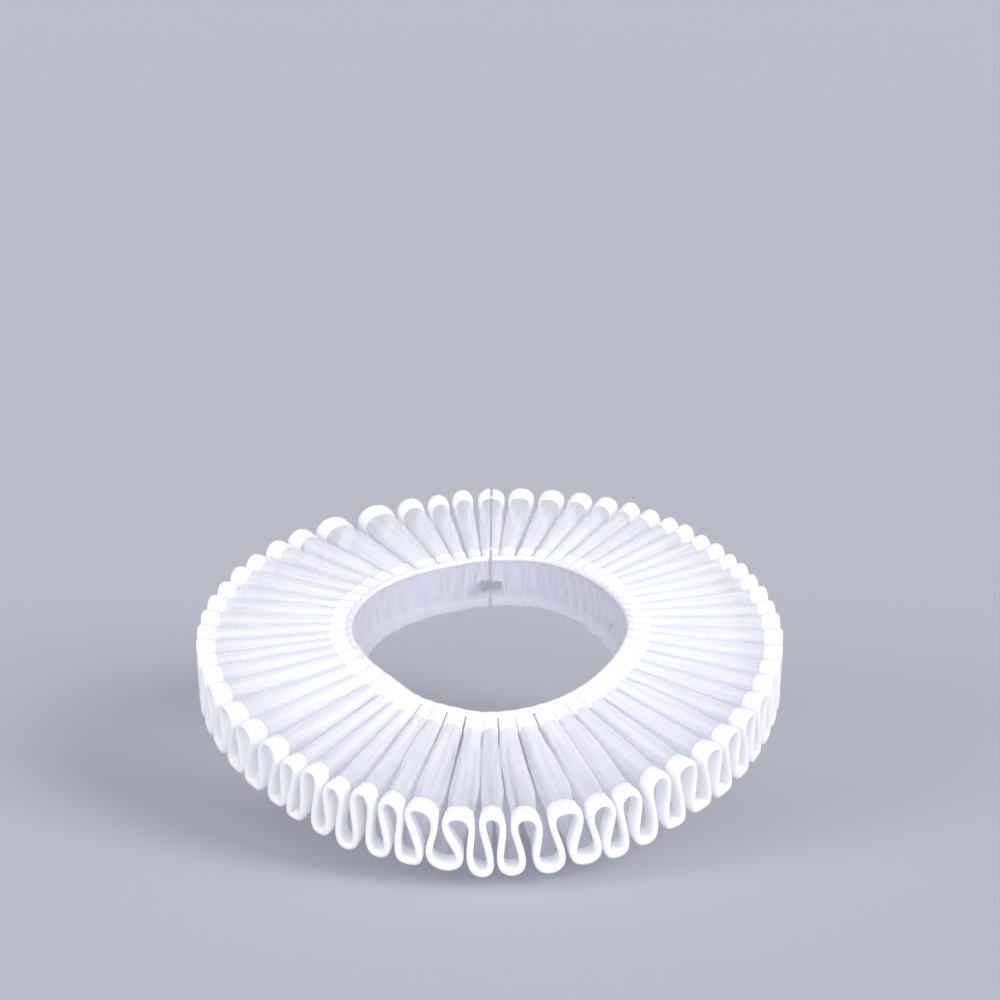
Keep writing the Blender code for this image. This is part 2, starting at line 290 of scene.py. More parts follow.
# How much of the light a cloth stops, how clearly its threads show in that, and its streaks
Weave = namedtuple("Weave", "cover contrast streaks")
ORGANZA_WEAVE = Weave(0.31, 0.04, 0.11)
BAND_WEAVE = Weave(0.32, 0.04, 0.03)

# Where gathering crowds the organza's threads, across the cloth, and how much cover that adds
Gathered = namedtuple("Gathered", "start end added")
GATHERED_COVER = 0.40

# How far light spreads inside each ribbon
EDGE_GLOW = 0.003
HEADING_GLOW = 0.0004

# The main creases in the organza, each a soft trough or ridge along the cloth: where it starts and
# ends, in loops and radius, and its height over the cloth and width in loops
Crease = namedtuple("Crease", "loop radius end_loop end_radius height width")
CREASES = (
    Crease(20.10, 0.084, 20.16, 0.128, -0.0009, 0.030),
    Crease(21.93, 0.083, 21.88, 0.112, 0.0008, 0.028),
    Crease(23.08, 0.090, 23.15, 0.136, -0.0010, 0.034),
    Crease(23.90, 0.083, 23.95, 0.108, -0.0008, 0.026),
    Crease(24.92, 0.083, 24.88, 0.122, -0.0011, 0.030),
    Crease(25.10, 0.095, 25.16, 0.134, 0.0008, 0.034),
    Crease(25.97, 0.086, 25.94, 0.122, -0.0013, 0.022),
    Crease(26.08, 0.083, 26.12, 0.104, 0.0009, 0.024),
    Crease(26.90, 0.082, 26.92, 0.132, 0.0011, 0.024),
    Crease(26.98, 0.082, 27.01, 0.112, -0.0014, 0.020),
    Crease(27.10, 0.084, 27.13, 0.134, -0.0010, 0.026),
    Crease(27.92, 0.083, 27.95, 0.120, -0.0012, 0.022),
    Crease(28.03, 0.084, 28.12, 0.138, -0.0014, 0.022),
    Crease(28.90, 0.083, 28.86, 0.114, -0.0012, 0.022),
    Crease(29.03, 0.088, 29.12, 0.138, -0.0014, 0.024),
    Crease(29.95, 0.083, 29.99, 0.110, -0.0011, 0.022),
    Crease(30.05, 0.090, 30.12, 0.136, -0.0012, 0.026),
    Crease(30.92, 0.085, 30.95, 0.116, 0.0008, 0.028),
    Crease(32.06, 0.083, 32.12, 0.126, -0.0009, 0.030),
    Crease(33.95, 0.086, 33.90, 0.120, -0.0008, 0.030),
    Crease(36.04, 0.083, 36.10, 0.130, -0.0010, 0.032),
    Crease(38.94, 0.084, 38.97, 0.114, 0.0008, 0.028),
    Crease(42.05, 0.083, 42.12, 0.128, -0.0009, 0.030),
    Crease(45.92, 0.085, 45.86, 0.120, -0.0008, 0.030),
    Crease(50.06, 0.083, 50.12, 0.132, -0.0010, 0.032),
    Crease(54.95, 0.084, 54.90, 0.118, 0.0009, 0.028),
    Crease(2.04, 0.083, 2.10, 0.130, -0.0010, 0.032),
    Crease(5.94, 0.084, 5.99, 0.116, -0.0009, 0.028),
    Crease(7.06, 0.083, 7.13, 0.134, 0.0009, 0.034),
    Crease(10.95, 0.085, 10.90, 0.122, -0.0010, 0.030),
    Crease(14.05, 0.083, 14.12, 0.128, -0.0009, 0.030),
    Crease(17.93, 0.084, 17.96, 0.118, 0.0008, 0.028),
)
CREASE_FADE = 0.012

# The neckband's section, from the edge turned out over the pleats to its foot: how far out from
# its face, how far over the crowns, and the share of its lean. The edge dips between the pleats by
# the scallop where it is turned out far enough, and the band sits just clear of them.
BandRow = namedtuple("BandRow", "out up lean")
BAND_EDGE = (
    BandRow(0.0028, -0.0006, 0.0),
    BandRow(0.0026, 0.0001, 0.0),
    BandRow(0.0019, 0.0006, 0.0),
    BandRow(0.0011, 0.0009, 0.0),
    BandRow(0.0004, 0.0008, 0.0),
    BandRow(0.0, 0.0002, 0.0),
)
BAND_SCALLOP = 0.0009
BAND_SCALLOP_OUT = 0.001
BAND_SEAT = 0.0003

# Soft creases in the neckband: where, how far they slant along the band, and their size. They
# start at its top and are at their full depth part of the way down.
BandCrease = namedtuple("BandCrease", "bearing slant depth width")
BAND_CREASES = (
    BandCrease(118, 0.010, 0.0008, 0.0030),
    BandCrease(150, -0.012, 0.0010, 0.0035),
    BandCrease(176, 0.018, 0.0022, 0.0032),
    BandCrease(186, -0.010, 0.0016, 0.0036),
    BandCrease(196, -0.006, 0.0009, 0.0040),
    BandCrease(238, 0.009, 0.0007, 0.0034),
    BandCrease(283, -0.008, 0.0008, 0.0030),
    BandCrease(322, 0.011, 0.0009, 0.0036),
    BandCrease(352, -0.013, 0.0012, 0.0030),
    BandCrease(364, -0.014, 0.0020, 0.0032),
    BandCrease(370, 0.012, 0.0018, 0.0034),
    BandCrease(384, 0.010, 0.0015, 0.0032),
    BandCrease(403, -0.009, 0.0008, 0.0036),
    BandCrease(431, 0.007, 0.0007, 0.0030),
)
BAND_CREASE_GROWTH = 1.6

# The running stitches' line: how far in from a ribbon's lip, and how wide the row that marks it
STITCH_INSET = 0.0012
STITCH_ROW = 0.0004

# The stage: a floor just clear of the feet, soft lights, a pale sky and the camera
FLOOR_HALF = 40.0
FLOOR_CLEARANCE = 0.006
Light = namedtuple("Light", "name place spread strength tint")
LIGHTS = (
    Light("key_light", (1.15, -0.95, 0.8), 30.0, 1.7, (1.0, 1.0, 1.0)),
    Light("fill_light", (-1.2, -0.9, 0.5), 40.0, 1.0, (0.97, 0.98, 1.0)),
    Light("front_light", (0.1, -1.4, 0.35), 50.0, 0.90, (1.0, 1.0, 1.0)),
)
SKY_COLOUR = (0.9, 0.91, 1.0)
SKY_STRENGTH = 0.56
LOOK_DOWN = math.radians(12)
CAMERA_DISTANCE = 1.4
CAMERA_RIGHT = 0.0052
CAMERA_UP = 0.0812
LENS_MM = 98.82
SENSOR_MM = 36.0
# Light passes many sheer layers, and is thrown on from layer to layer
SHEER_BOUNCES = 48
MOST_BOUNCES = 12
DIFFUSE_BOUNCES = 10


def linear(hex_colour):
    """An sRGB colour written in hex, as three linear numbers."""
    shares = [int(hex_colour[place:place + 2], 16) / 255 for place in (0, 2, 4)]
    return tuple(v / 12.92 if v <= 0.04045 else ((v + 0.055) / 1.055) ** 2.4 for v in shares)


def length_prop(name, description, default):
    """A size in metres that a user may change."""
    return bpy.props.FloatProperty(
        name=name, description=description, default=default, min=0.0, precision=5, unit="LENGTH"
    )


def colour_prop(name, description, hex_colour):
    """A colour that a user may change."""
    return bpy.props.FloatVectorProperty(
        name=name, description=description, default=linear(hex_colour),
        size=3, min=0.0, max=1.0, subtype="COLOR",
    )


class RuffSizes(bpy.types.PropertyGroup):
    """The collar's driving sizes."""

    collar_radius: length_prop(
        "Collar radius", "Centre of the neck to the outer edge", (EDGE_HIGH.x - EDGE_LOW.x) / 2
    )
    neck_radius: length_prop("Neck radius", "Centre of the neck to the pleats", 0.0705)
    edge_width: length_prop("Edge ribbon width", "Satin ribbon on the outer edge", 0.010)
    heading_width: length_prop("Heading width", "Pleated ribbon round the neck", 0.011)
    edge_loop_height: length_prop("Edge loop height", "Height of a loop at the edge", 0.0315)
    neck_loop_height: length_prop("Neck loop height", "Height of a loop at the neck", 0.027)
    neck_rise: length_prop("Neck rise", "How much higher the loops stand at the neck", 0.0065)
    ribbon_wall: length_prop("Edge ribbon thickness", "Satin folded over the cloth", 0.0032)
    heading_wall: length_prop("Heading thickness", "Pleated satin at the neck", 0.0007)
    band_height: length_prop("Band height", "Height of the neckband", 0.025)
    band_seam: length_prop("Band seam", "Layers caught along the band's top", 0.0050)
    band_drop: length_prop("Band drop", "Neckband's top below the crowns", 0.0015)
    band_lean: length_prop("Band lean", "How far the band leans in at its foot", 0.0065)
    band_wall: length_prop("Band thickness", "Doubled organza of the neckband", 0.0006)
    end_gap: length_prop("End gap", "Opening at the centre back", 0.0016)
    strip_length: length_prop("Strip length", "Organza strip, laid out flat", 4.45)
    heading_length: length_prop("Heading length", "Heading ribbon, laid out flat", 3.62)
    lap: length_prop("Lap", "Organza caught inside each ribbon", 0.0025)
    tilt: bpy.props.FloatProperty(
        name="Forward tilt", description="Slope at which the collar is worn",
        default=math.radians(20), subtype="ANGLE",
    )
    lift_at_neck: bpy.props.FloatProperty(
        name="Lift at neck", description="Share of the edge's lift at the neck", default=0.7
    )
    stitch_pitch: length_prop("Stitch pitch", "From one stitch to the next", 0.0036)
    stitch_length: length_prop("Stitch length", "Length of one stitch", 0.0024)
    thread_radius: length_prop("Thread radius", "Half the sewing thread's width", 0.00018)
    warp_spacing: length_prop("Warp spacing", "Thread lines drawn along the organza", 0.0013)
    weft_spacing: length_prop("Weft spacing", "Thread lines drawn across the organza", 0.0011)
    satin_rib: length_prop("Satin rib", "Fine ribs drawn across the ribbon", 0.0008)


class RuffColours(bpy.types.PropertyGroup):
    """The collar's colours."""

    organza: colour_prop("Organza", "Bleached nylon organza", "F9FAFE")
    edge: colour_prop("Edge ribbon", "White polyester satin ribbon", "FDFDFF")
    # Painted shade: the heading is the same white satin as the edge ribbon but is given a slightly
    # darker white, so that its brightly lit pleats keep their shading
    heading: colour_prop("Heading", "White polyester satin ribbon, pleated", "F6F6F8")
    # Painted shade: the neckband is the same organza as the ruffle but is given a greyer lavender
    # white, for the shade it stands in inside the pleats
    band: colour_prop("Neckband", "Doubled organza of the neckband", "E9EBF5")
    thread: colour_prop("Thread", "White sewing thread", "FAFAFC")
    steel: colour_prop("Steel", "Nickel-plated hook and bar", "DEDFE2")
    floor: colour_prop("Floor", "Plain pale floor", "BEC0C7")


def smooth_step(value):
    """0 to 1, easing in and out."""
    value = np.clip(value, 0.0, 1.0)
    return value * value * (3.0 - 2.0 * value)


def station_curve(loop, column):
    """A smooth curve through one column of STATIONS, closed round the neck, at these loops."""
    turn = 360.0 if column == "bearing" else 0.0
    counts = np.array([row.loops for row in STATIONS], float)
    values = np.array([getattr(row, column) for row in STATIONS], float)
    counts = np.concatenate([[counts[-2] - LOOPS], counts, [counts[1] + LOOPS]])
    values = np.concatenate([[values[-2] - turn], values, [values[1] + turn]])
    slopes = np.gradient(values, counts)
    loop = np.asarray(loop, float)
    row = np.clip(np.searchsorted(counts, loop, side="right") - 1, 0, len(counts) - 2)
    step = counts[row + 1] - counts[row]
    part = (loop - counts[row]) / step
    ease = part * part * (3.0 - 2.0 * part)
    return (
        values[row] * (1.0 - ease)
        + values[row + 1] * ease
        + slopes[row] * step * part * (1.0 - part) ** 2
        - slopes[row + 1] * step * part * part * (1.0 - part)
    )


def eased(place, places, values):
    """Values read at a place between the rows of a table, easing from each row to the next."""
    place = np.clip(place, places[0], places[-1])
    row = np.clip(np.searchsorted(places, place, side="right") - 1, 0, len(places) - 2)
    ease = smooth_step((place - places[row]) / (places[row + 1] - places[row]))
    return values[row] * (1.0 - ease) + values[row + 1] * ease


def fold_table(usual, spread, chance, column=None):
    """A value for each crown and each foot, by chance or as set for the front folds."""
    values = [usual + spread * chance.uniform(-1.0, 1.0) for _ in range(2 * LOOPS + 1)]
    for fold in FRONT_FOLDS if column else ():
        values[round(2 * fold.loop)] = getattr(fold, column)
    return np.array(values)


def folds_at(loop, reach, neck_values, edge_values):
    """Two fold tables read at these loops and blended from the neck to the edge."""
    at_neck = eased(loop, FOLD_PLACES, neck_values)
    return at_neck + (eased(loop, FOLD_PLACES, edge_values) - at_neck) * reach


CHANCE = random.Random(UNEVEN_SEED)
FOLD_PLACES = np.arange(2 * LOOPS + 1) / 2
SHIFTS = fold_table(0.0, UNEVEN_SHIFT, CHANCE, "shift")
RISES = fold_table(0.0, UNEVEN_RISE, CHANCE, "rise")
SWELL_SHARES = fold_table(1.0, UNEVEN_SWELL, CHANCE, "swell")
FLATNESS = fold_table(CROWN_FLATNESS, UNEVEN_FLATNESS, CHANCE)
FLATNESS[1::2] += FOOT_FLATNESS - CROWN_FLATNESS
for foot in ODD_FEET:
    FLATNESS[round(2 * foot.loop)] = foot.flat
NECK_SHIFTS = fold_table(0.0, UNEVEN_NECK_SHIFT, CHANCE)
NECK_RISES = fold_table(0.0, UNEVEN_NECK_RISE, CHANCE)
NECK_SWELL_SHARES = fold_table(1.0, UNEVEN_NECK_SWELL, CHANCE)


def gathers(loop, radius, start):
    """Height of the creases that run out from the heading over the organza."""
    chance = random.Random(UNEVEN_SEED)
    height = np.zeros_like(loop)
    for kind in GATHERS:
        for count in range(LOOPS * kind.a_loop):
            middle = (count + 0.5 + chance.uniform(-GATHER_STRAY, GATHER_STRAY)) / kind.a_loop
            depth = kind.depth * chance.uniform(-1.0, 1.0)
            width = kind.width * chance.uniform(*GATHER_WIDTHS)
            reach = kind.reach * chance.uniform(*GATHER_REACHES)
            across = (loop - middle) / width
            near = np.abs(across) < GATHER_SPREAD
            out = np.maximum(radius[near] - start, 0.0)
            ridge = np.exp(-across[near] ** 2) * np.exp(-out / reach)
            height[near] += depth * ridge * smooth_step(out / GATHER_RISE)
    for crease in CREASES:
        way = (radius - crease.radius) / (crease.end_radius - crease.radius)
        line = crease.loop + (crease.end_loop - crease.loop) * way
        fade = smooth_step((radius - crease.radius) / CREASE_FADE)
        fade = fade * smooth_step((crease.end_radius - radius) / CREASE_FADE)
        height += crease.height * fade * np.exp(-(((loop - line) / crease.width) ** 2))
    return height


def add_object(name, data):
    """A new object in the scene."""
    thing = bpy.data.objects.new(name, data)
    bpy.context.scene.collection.objects.link(thing)
    return thing


def cloth_mesh(name, points, flat, turned=False):
    """A smooth mesh through a grid of points, with their places on the flat cloth as its UV map.

    Each face goes round along its row first, or the other way if turned.
    """
    rows, columns = points.shape[:2]
    corner = np.arange(rows * columns).reshape(rows, columns)
    ring = [corner[:-1, :-1], corner[:-1, 1:], corner[1:, 1:], corner[1:, :-1]]
    if turned:
        ring = [ring[0], *reversed(ring[1:])]
    faces = np.stack(ring, axis=-1).reshape(-1, 4)
    mesh = bpy.data.meshes.new(name)
    mesh.from_pydata(points.reshape(-1, 3).tolist(), [], faces.tolist())
    weave = mesh.uv_layers.new(name="weave")
    weave.data.foreach_set("uv", flat.reshape(-1, 2)[faces.ravel()].astype(np.float32).ravel())
    mesh.shade_smooth()
    return mesh


def flat_strip(name, start, end, radii, columns, sizes, flat_length, walls=(), creased=False):
    """A strip of cloth, flat as it is cut, marked with where each point goes in the folded collar.

    Walls, one for each radius, are shares of the thickness that the strip is given later.
    """
    across = int(round((end - start) * columns)) + 1
    loop, radius = np.meshgrid(np.linspace(start, end, across), np.asarray(radii, float))
    heading_edge = sizes.neck_radius + sizes.heading_width
    reach = (radius - sizes.neck_radius) / (sizes.collar_radius - sizes.neck_radius)
    radii_known, shares, flats = np.array(SWELLS).T
    swell = eased(radius, radii_known, shares)
    along = loop * flat_length / LOOPS
    bearing = np.radians(station_curve(loop, "bearing")) - math.pi / 2
    bearing = bearing * (1.0 - sizes.end_gap / (TURN * radius)) + sizes.end_gap / 2 / radius
    marks = {
        "loop": loop,
        "radius": radius,
        "bearing": bearing + math.pi / 2,
        "pitch": np.radians(
            station_curve(loop + 0.5, "bearing") - station_curve(loop - 0.5, "bearing")
        ),
        "lift": station_curve(loop, "lift"),
        "lean": station_curve(loop, "lean"),
        "share": np.minimum(
            swell * folds_at(loop, reach, NECK_SWELL_SHARES, SWELL_SHARES), SWELL_MOST
        ),
        "flat": eased(radius, radii_known, flats) + reach * eased(loop, FOLD_PLACES, FLATNESS),
        "side": folds_at(loop, reach, NECK_SHIFTS, SHIFTS),
        "raise": folds_at(loop, reach, NECK_RISES, RISES),
        "crease": gathers(loop, radius, heading_edge) if creased else np.zeros_like(loop),
    }
    points = np.stack([along, radius, np.zeros_like(along)], axis=-1)
    mesh = cloth_mesh(name, points, points[..., :2])
    for mark, values in marks.items():
        layer = mesh.attributes.new(mark, "FLOAT", "POINT")
        layer.data.foreach_set("value", values.ravel().astype(np.float32))
    thing = add_object(name, mesh)
    if walls:
        full = thing.vertex_groups.new(name="full")
        for row, wall in enumerate(walls):
            full.add(list(range(row * across, (row + 1) * across)), wall, "REPLACE")
    return thing


def add_node(tree, kind, inputs=(), **settings):
    """Adds a node, sets it, joins or fills its inputs by place or name, and gives its outputs."""
    node = tree.nodes.new(kind)
    for name, value in settings.items():
        setattr(node, name, value)
    pairs = inputs.items() if isinstance(inputs, dict) else enumerate(inputs)
    for place, value in pairs:
        if isinstance(value, bpy.types.NodeSocket):
            tree.links.new(value, node.inputs[place])
        elif value is not None:
            node.inputs[place].default_value = value
    return node.outputs


def new_tree(name, sizes):
    """An empty Geometry Nodes tree with a geometry, a material and these named sizes as inputs."""
    tree = bpy.data.node_groups.new(name, "GeometryNodeTree")
    tree.interface.new_socket("Geometry", in_out="INPUT", socket_type="NodeSocketGeometry")
    tree.interface.new_socket("Geometry", in_out="OUTPUT", socket_type="NodeSocketGeometry")
    tree.interface.new_socket("Material", in_out="INPUT", socket_type="NodeSocketMaterial")
    for size in sizes:
        tree.interface.new_socket(size, in_out="INPUT", socket_type="NodeSocketFloat")
    return tree, add_node(tree, "NodeGroupInput")


def end_tree(tree, geometry, material):
    """Realizes what the tree made, gives it its material and puts it out."""
    real = add_node(tree, "GeometryNodeRealizeInstances", (geometry,))[0]
    painted = add_node(tree, "GeometryNodeSetMaterial", {"Geometry": real, "Material": material})[0]
    add_node(tree, "NodeGroupOutput", (painted,))


def fold_tree():
    """The tree that folds a flat strip into the ruff's figure-of-eight loops."""
    size_names = (
        "Collar radius", "Neck radius", "Edge loop height", "Neck loop height", "Neck rise",
        "Lift at neck", "Tilt", "Drop",
    )
    tree, given = new_tree("fold_cloth", size_names)
    terms = {name: given[name] for name in size_names}
    for mark in CLOTH_MARKS:
        terms[mark] = add_node(tree, "GeometryNodeInputNamedAttribute", (mark,))[0]
    for row in FOLD_SUMS:
        inputs = [terms.get(term, term) for term in (row.first, row.second, row.third)]
        terms[row.name] = add_node(tree, "ShaderNodeMath", inputs, operation=row.operation)[0]
    place = add_node(tree, "ShaderNodeCombineXYZ", (terms["x"], terms["y"], terms["height"]))[0]
    folded = add_node(
        tree, "GeometryNodeSetPosition", {"Geometry": given["Geometry"], "Position": place}
    )[0]
    facing = add_node(tree, "GeometryNodeInputNormal")[0]
    push = add_node(
        tree, "ShaderNodeVectorMath", {0: facing, "Scale": terms["crease"]}, operation="SCALE"
    )[0]
    creased = add_node(tree, "GeometryNodeSetPosition", {"Geometry": folded, "Offset": push})[0]
    down = add_node(tree, "ShaderNodeCombineXYZ", (0.0, 0.0, terms["Drop"]))[0]
    lowered = add_node(
        tree, "GeometryNodeTransform", {"Geometry": creased, "Translation": down}
    )[0]
    lay = add_node(tree, "ShaderNodeCombineXYZ", (terms["Tilt"], 0.0, 0.0))[0]
    tipped = add_node(tree, "GeometryNodeTransform", {"Geometry": lowered, "Rotation": lay})[0]
    end_tree(tree, tipped, given["Material"])
    return tree


def stitch_tree():
    """The tree that sews a running stitch along a folded strip's marked row, on both its faces."""
    size_names = ("Stitch pitch", "Stitch length", "Thread radius", "Stand off")
    tree, given = new_tree("running_stitch", size_names)
    facing = add_node(tree, "GeometryNodeInputNormal")[0]
    kept = add_node(
        tree, "GeometryNodeStoreNamedAttribute",
        {"Geometry": given["Geometry"], "Name": "facing", "Value": facing},
        data_type="FLOAT_VECTOR",
    )[0]
    sewn = add_node(tree, "GeometryNodeInputNamedAttribute", ("sewn",), data_type="BOOLEAN")[0]
    line = add_node(tree, "GeometryNodeMeshToCurve", {"Mesh": kept, "Selection": sewn})[0]
    spaced = add_node(
        tree, "GeometryNodeResampleCurve",
        {"Curve": line, "Length": given["Stitch pitch"]}, mode="LENGTH",
    )[0]
    out = add_node(
        tree, "GeometryNodeInputNamedAttribute", ("facing",), data_type="FLOAT_VECTOR"
    )[0]
    ball = add_node(
        tree, "GeometryNodeMeshUVSphere", {"Segments": 6, "Rings": 4, "Radius": 1.0}
    )[0]
    half = add_node(tree, "ShaderNodeMath", (given["Stitch length"], 0.5), operation="MULTIPLY")[0]
    shape = add_node(
        tree, "ShaderNodeCombineXYZ", (half, given["Thread radius"], given["Thread radius"])
    )[0]
    stitch = add_node(tree, "GeometryNodeTransform", {"Geometry": ball, "Scale": shape})[0]
    along = add_node(tree, "GeometryNodeInputTangent")[0]
    lengthwise = add_node(
        tree, "FunctionNodeAlignRotationToVector", {"Vector": along}, axis="X"
    )[0]
    flat = add_node(
        tree, "FunctionNodeAlignRotationToVector", {"Rotation": lengthwise, "Vector": out},
        axis="Z", pivot_axis="X",
    )[0]
    sides = []
    for side in (1.0, -1.0):
        reach = add_node(
            tree, "ShaderNodeMath", (given["Stand off"], side), operation="MULTIPLY"
        )[0]
        push = add_node(
            tree, "ShaderNodeVectorMath", {0: out, "Scale": reach}, operation="SCALE"
        )[0]
        moved = add_node(tree, "GeometryNodeSetPosition", {"Geometry": spaced, "Offset": push})[0]
        sides.append(add_node(
            tree, "GeometryNodeInstanceOnPoints",
            {"Points": moved, "Instance": stitch, "Rotation": flat},
        )[0])
    joined = tree.nodes.new("GeometryNodeJoinGeometry")
    for part in sides:
        tree.links.new(part, joined.inputs[0])
    end_tree(tree, joined.outputs[0], given["Material"])
    return tree


def give_tree(thing, tree, values):
    """Puts a tree on an object, each named input set by its socket's identifier."""
    modifier = thing.modifiers.new(tree.name, "NODES")
    modifier.node_group = tree
    for socket in tree.interface.items_tree:
        if socket.in_out == "INPUT" and socket.name in values:
            modifier[socket.identifier] = values[socket.name]


def make_plain(thing):
    """Turns what an object's modifiers make into its own plain mesh, without the marks."""
    graph = bpy.context.evaluated_depsgraph_get()
    mesh = bpy.data.meshes.new_from_object(
        thing.evaluated_get(graph), preserve_all_data_layers=True, depsgraph=graph
    )
    thing.modifiers.clear()
    thing.vertex_groups.clear()
    mesh.name = thing.name
    thing.data = mesh
    for name in [layer.name for layer in mesh.attributes if layer.name in CLOTH_MARKS]:
        mesh.attributes.remove(mesh.attributes[name])


def crown_height(sizes):
    """Height of the crowns at the neck, before the cloth's lift."""
    return sizes.neck_rise + sizes.neck_loop_height / 2


def level_drop(sizes):
    """How far the level collar is moved so that the middle of its band is at the origin."""
    return sizes.band_height / 2 + sizes.band_drop - crown_height(sizes)


def fold_strip(thing, sizes, material):
    """Folds a flat strip into the ruff's loops, lowered and tipped as the collar is worn."""
    give_tree(thing, bpy.data.node_groups.get("fold_cloth") or fold_tree(), {
        "Material": material,
        "Collar radius": sizes.collar_radius,
        "Neck radius": sizes.neck_radius,
        "Edge loop height": sizes.edge_loop_height,
        "Neck loop height": sizes.neck_loop_height,
        "Neck rise": sizes.neck_rise,
        "Lift at neck": sizes.lift_at_neck,
        "Tilt": sizes.tilt,
        "Drop": level_drop(sizes),
    })


def add_wall(thing, wall):
    """Gives a cloth its thickness, by the shares in its group "full" if it has one."""
    solid = thing.modifiers.new("wall", "SOLIDIFY")
    solid.thickness = wall
    solid.offset = 0.0
    solid.vertex_group = "full" if "full" in thing.vertex_groups else ""


def fold_ribbon(name, section, inner, width, length, wall, sizes, material):
    """A ribbon of this section, folded with the ruffle and given its thickness."""
    piece = flat_strip(
        name, 0, LOOPS, [inner + width * row.width for row in section], RIBBON_COLUMNS, sizes,
        length, walls=[row.wall for row in section],
    )
    fold_strip(piece, sizes, material)
    add_wall(piece, wall)
    make_plain(piece)
    return piece


def new_material(name, colour, finish):
    """A material whose Principled shader has this colour and these other constants."""
    material = bpy.data.materials.new(name)
    material.use_nodes = True
    tree = material.node_tree
    shader = tree.nodes["Principled BSDF"]
    shader.inputs["Base Color"].default_value = (*colour, 1.0)
    for socket, value in finish.items():
        shader.inputs[socket].default_value = value
    return material, tree, shader


def organza_material(name, colour, sizes, weaving, gathered=None, seam=0.0):
    """Nylon organza, plain woven from fine hard-spun threads: crisp, sheer and faintly shining.

    Its threads stand 0.25 mm apart, too fine to show, so they are drawn about five times as far
    apart. Between them the cloth lets sight and light through, less so where it is gathered and
    not at all where a seam along its first edge holds many layers.
    """
    material, tree, shader = new_material(name, colour, {
        "Roughness": 0.5, "IOR": 1.53, "Sheen Weight": 0.35, "Sheen Roughness": 0.4,
    })
    weave = add_node(tree, "ShaderNodeUVMap", uv_map="weave")[0]
    flat = add_node(tree, "ShaderNodeSeparateXYZ", (weave,))
    threads = []
    for place, spacing in ((0, sizes.warp_spacing), (1, sizes.weft_spacing)):
        turns = add_node(
            tree, "ShaderNodeMath", (flat[place], TURN / spacing), operation="MULTIPLY"
        )[0]
        threads.append(add_node(tree, "ShaderNodeMath", (turns,), operation="COSINE")[0])
    warp, weft = threads
    both = add_node(
        tree, "ShaderNodeMath", (weft, weaving.contrast, 0.0), operation="MULTIPLY_ADD"
    )[0]
    both = add_node(
        tree, "ShaderNodeMath", (warp, weaving.contrast, both), operation="MULTIPLY_ADD"
    )[0]
    drawn = add_node(
        tree, "ShaderNodeVectorMath", (weave, (1.0, 0.07, 1.0)), operation="MULTIPLY"
    )[0]
    cloud = add_node(
        tree, "ShaderNodeTexNoise", {"Vector": drawn, "Scale": 240.0, "Detail": 3.0}
    )[0]
    cloudy = add_node(
        tree, "ShaderNodeMapRange",
        {"Value": cloud, "From Min": 0.3, "From Max": 0.7,
         "To Min": -weaving.streaks, "To Max": weaving.streaks},
    )[0]
    cover = add_node(tree, "ShaderNodeMath", (both, cloudy), operation="ADD")[0]
    cover = add_node(
        tree, "ShaderNodeMath", (cover, weaving.cover), operation="ADD", use_clamp=True
    )[0]
    if gathered:
        crowded = add_node(
            tree, "ShaderNodeMapRange",
            {"Value": flat[1], "From Min": gathered.start, "From Max": gathered.end,
             "To Min": gathered.added, "To Max": 0.0},
        )[0]
        cover = add_node(tree, "ShaderNodeMath", (cover, crowded), operation="ADD")[0]
    if seam:
        layers = add_node(
            tree, "ShaderNodeMapRange",
            {"Value": flat[1], "From Min": seam, "From Max": seam * 1.25,
             "To Min": 1.0, "To Max": 0.0},
        )[0]
        cover = add_node(tree, "ShaderNodeMath", (cover, layers), operation="MAXIMUM")[0]
    tree.links.new(cover, shader.inputs["Alpha"])
    bump = add_node(
        tree, "ShaderNodeBump",
        {"Height": warp, "Strength": 0.15, "Distance": 0.0001},
    )[0]
    tree.links.new(bump, shader.inputs["Normal"])
    return material


def satin_material(name, colour, sizes, glow):
    """Polyester satin ribbon, woven with long floats: bright, smooth and softly shining.

    The floats lie along the ribbon, 0.1 mm apart. They are drawn as fine ribs eight times as
    coarse, with the cloth under them bleached a cold white. Light glows some way through it.
    """
    material, tree, shader = new_material(name, colour, {
        "IOR": 1.5, "Sheen Weight": 0.2, "Sheen Roughness": 0.3, "Subsurface Weight": 1.0,
        "Subsurface Radius": (1.0, 1.0, 1.0), "Subsurface Scale": glow,
    })
    weave = add_node(tree, "ShaderNodeUVMap", uv_map="weave")[0]
    flat = add_node(tree, "ShaderNodeSeparateXYZ", (weave,))
    turns = add_node(
        tree, "ShaderNodeMath", (flat[0], TURN / sizes.satin_rib), operation="MULTIPLY"
    )[0]
    rib = add_node(tree, "ShaderNodeMath", (turns,), operation="COSINE")[0]
    grain = add_node(
        tree, "ShaderNodeTexNoise", {"Vector": weave, "Scale": 900.0, "Detail": 3.0}
    )[0]
    height = add_node(tree, "ShaderNodeMath", (grain, 0.6, rib), operation="MULTIPLY_ADD")[0]
    bump = add_node(
        tree, "ShaderNodeBump", {"Height": height, "Strength": 0.18, "Distance": 0.0001}
    )[0]
    tree.links.new(bump, shader.inputs["Normal"])
    worn = add_node(
        tree, "ShaderNodeMapRange",
        {"Value": grain, "From Min": 0.3, "From Max": 0.7, "To Min": 0.34, "To Max": 0.46},
    )[0]
    tree.links.new(worn, shader.inputs["Roughness"])
    return material


def matt_material(name, colour, roughness, scale, strength, distance):
    """A matt finish with a fine even tooth."""
    material, tree, shader = new_material(name, colour, {"Roughness": roughness})
    place = add_node(tree, "ShaderNodeTexCoord")["Object"]
    tooth = add_node(tree, "ShaderNodeTexNoise", {"Vector": place, "Scale": scale})[0]
    bump = add_node(
        tree, "ShaderNodeBump", {"Height": tooth, "Strength": strength, "Distance": distance}
    )[0]
    tree.links.new(bump, shader.inputs["Normal"])
    return material


